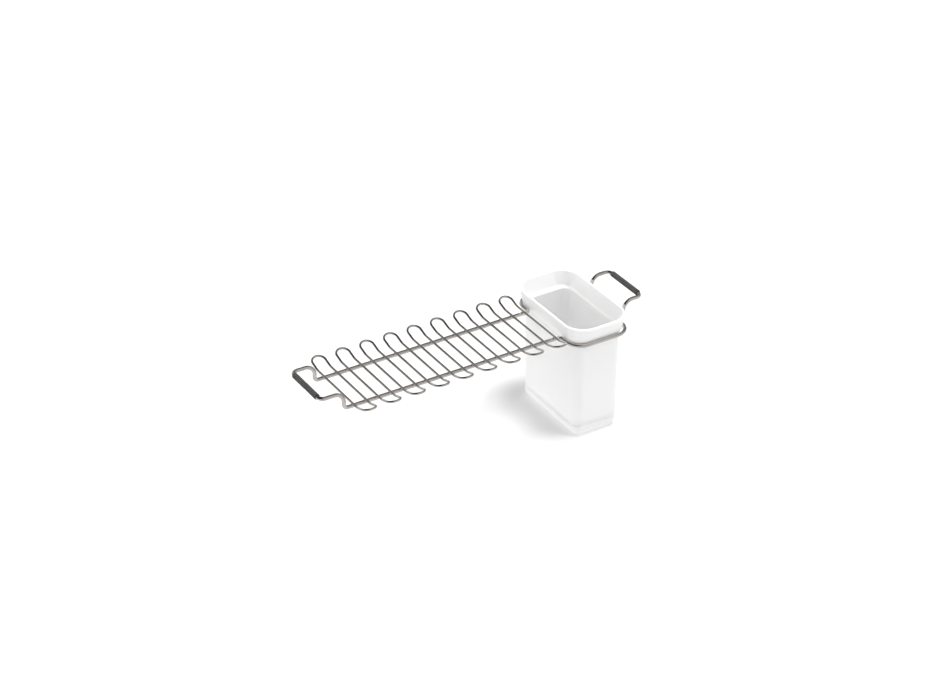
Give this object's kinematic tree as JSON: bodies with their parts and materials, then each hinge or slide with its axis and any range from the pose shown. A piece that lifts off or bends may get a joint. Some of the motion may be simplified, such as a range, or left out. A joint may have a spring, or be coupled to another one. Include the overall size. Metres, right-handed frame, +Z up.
{
  "type": "sink utility rack",
  "caption": "Over-sink wire rack with upturned wire loops on two rails, a soft ribbed grip at each end and a lift-out utensil cup in a ring.",
  "frame": {"origin": "middle of the flat rib under the left grip, in the plane of the sink rims that the rack rests on", "axes": "+X along the rack from the left grip to the cup end, +Y across the rack away from the near rail, +Z up"},
  "size_m": [0.4998, 0.1582, 0.1766],
  "materials": {
    "steel_wire": "polished stainless steel wire",
    "grip_rubber": "ribbed charcoal rubber",
    "white_plastic": "white moulded plastic with a soft gloss"
  },
  "bodies": {
    "rack": {"frame_rod": "steel_wire", "plate_loop_1": "steel_wire", "plate_loop_2": "steel_wire", "plate_loop_3": "steel_wire", "plate_loop_4": "steel_wire", "plate_loop_5": "steel_wire", "plate_loop_6": "steel_wire", "plate_loop_7": "steel_wire", "plate_loop_8": "steel_wire", "plate_loop_9": "steel_wire", "grip_sleeve_left": "grip_rubber", "grip_sleeve_right": "grip_rubber"},
    "cup": {"utensil_cup": "white_plastic"},
    "drip_base": {"cup_base": "white_plastic"}
  },
  "joints": [
    {"name": "cup_lift", "type": "slide", "parent": "rack", "child": "cup", "axis": [0, 0, 1], "range_m": [0, 0.155]},
    {"name": "base_release", "type": "slide", "parent": "cup", "child": "drip_base", "axis": [0, 0, -1], "range_m": [0, 0.02]}
  ]
}
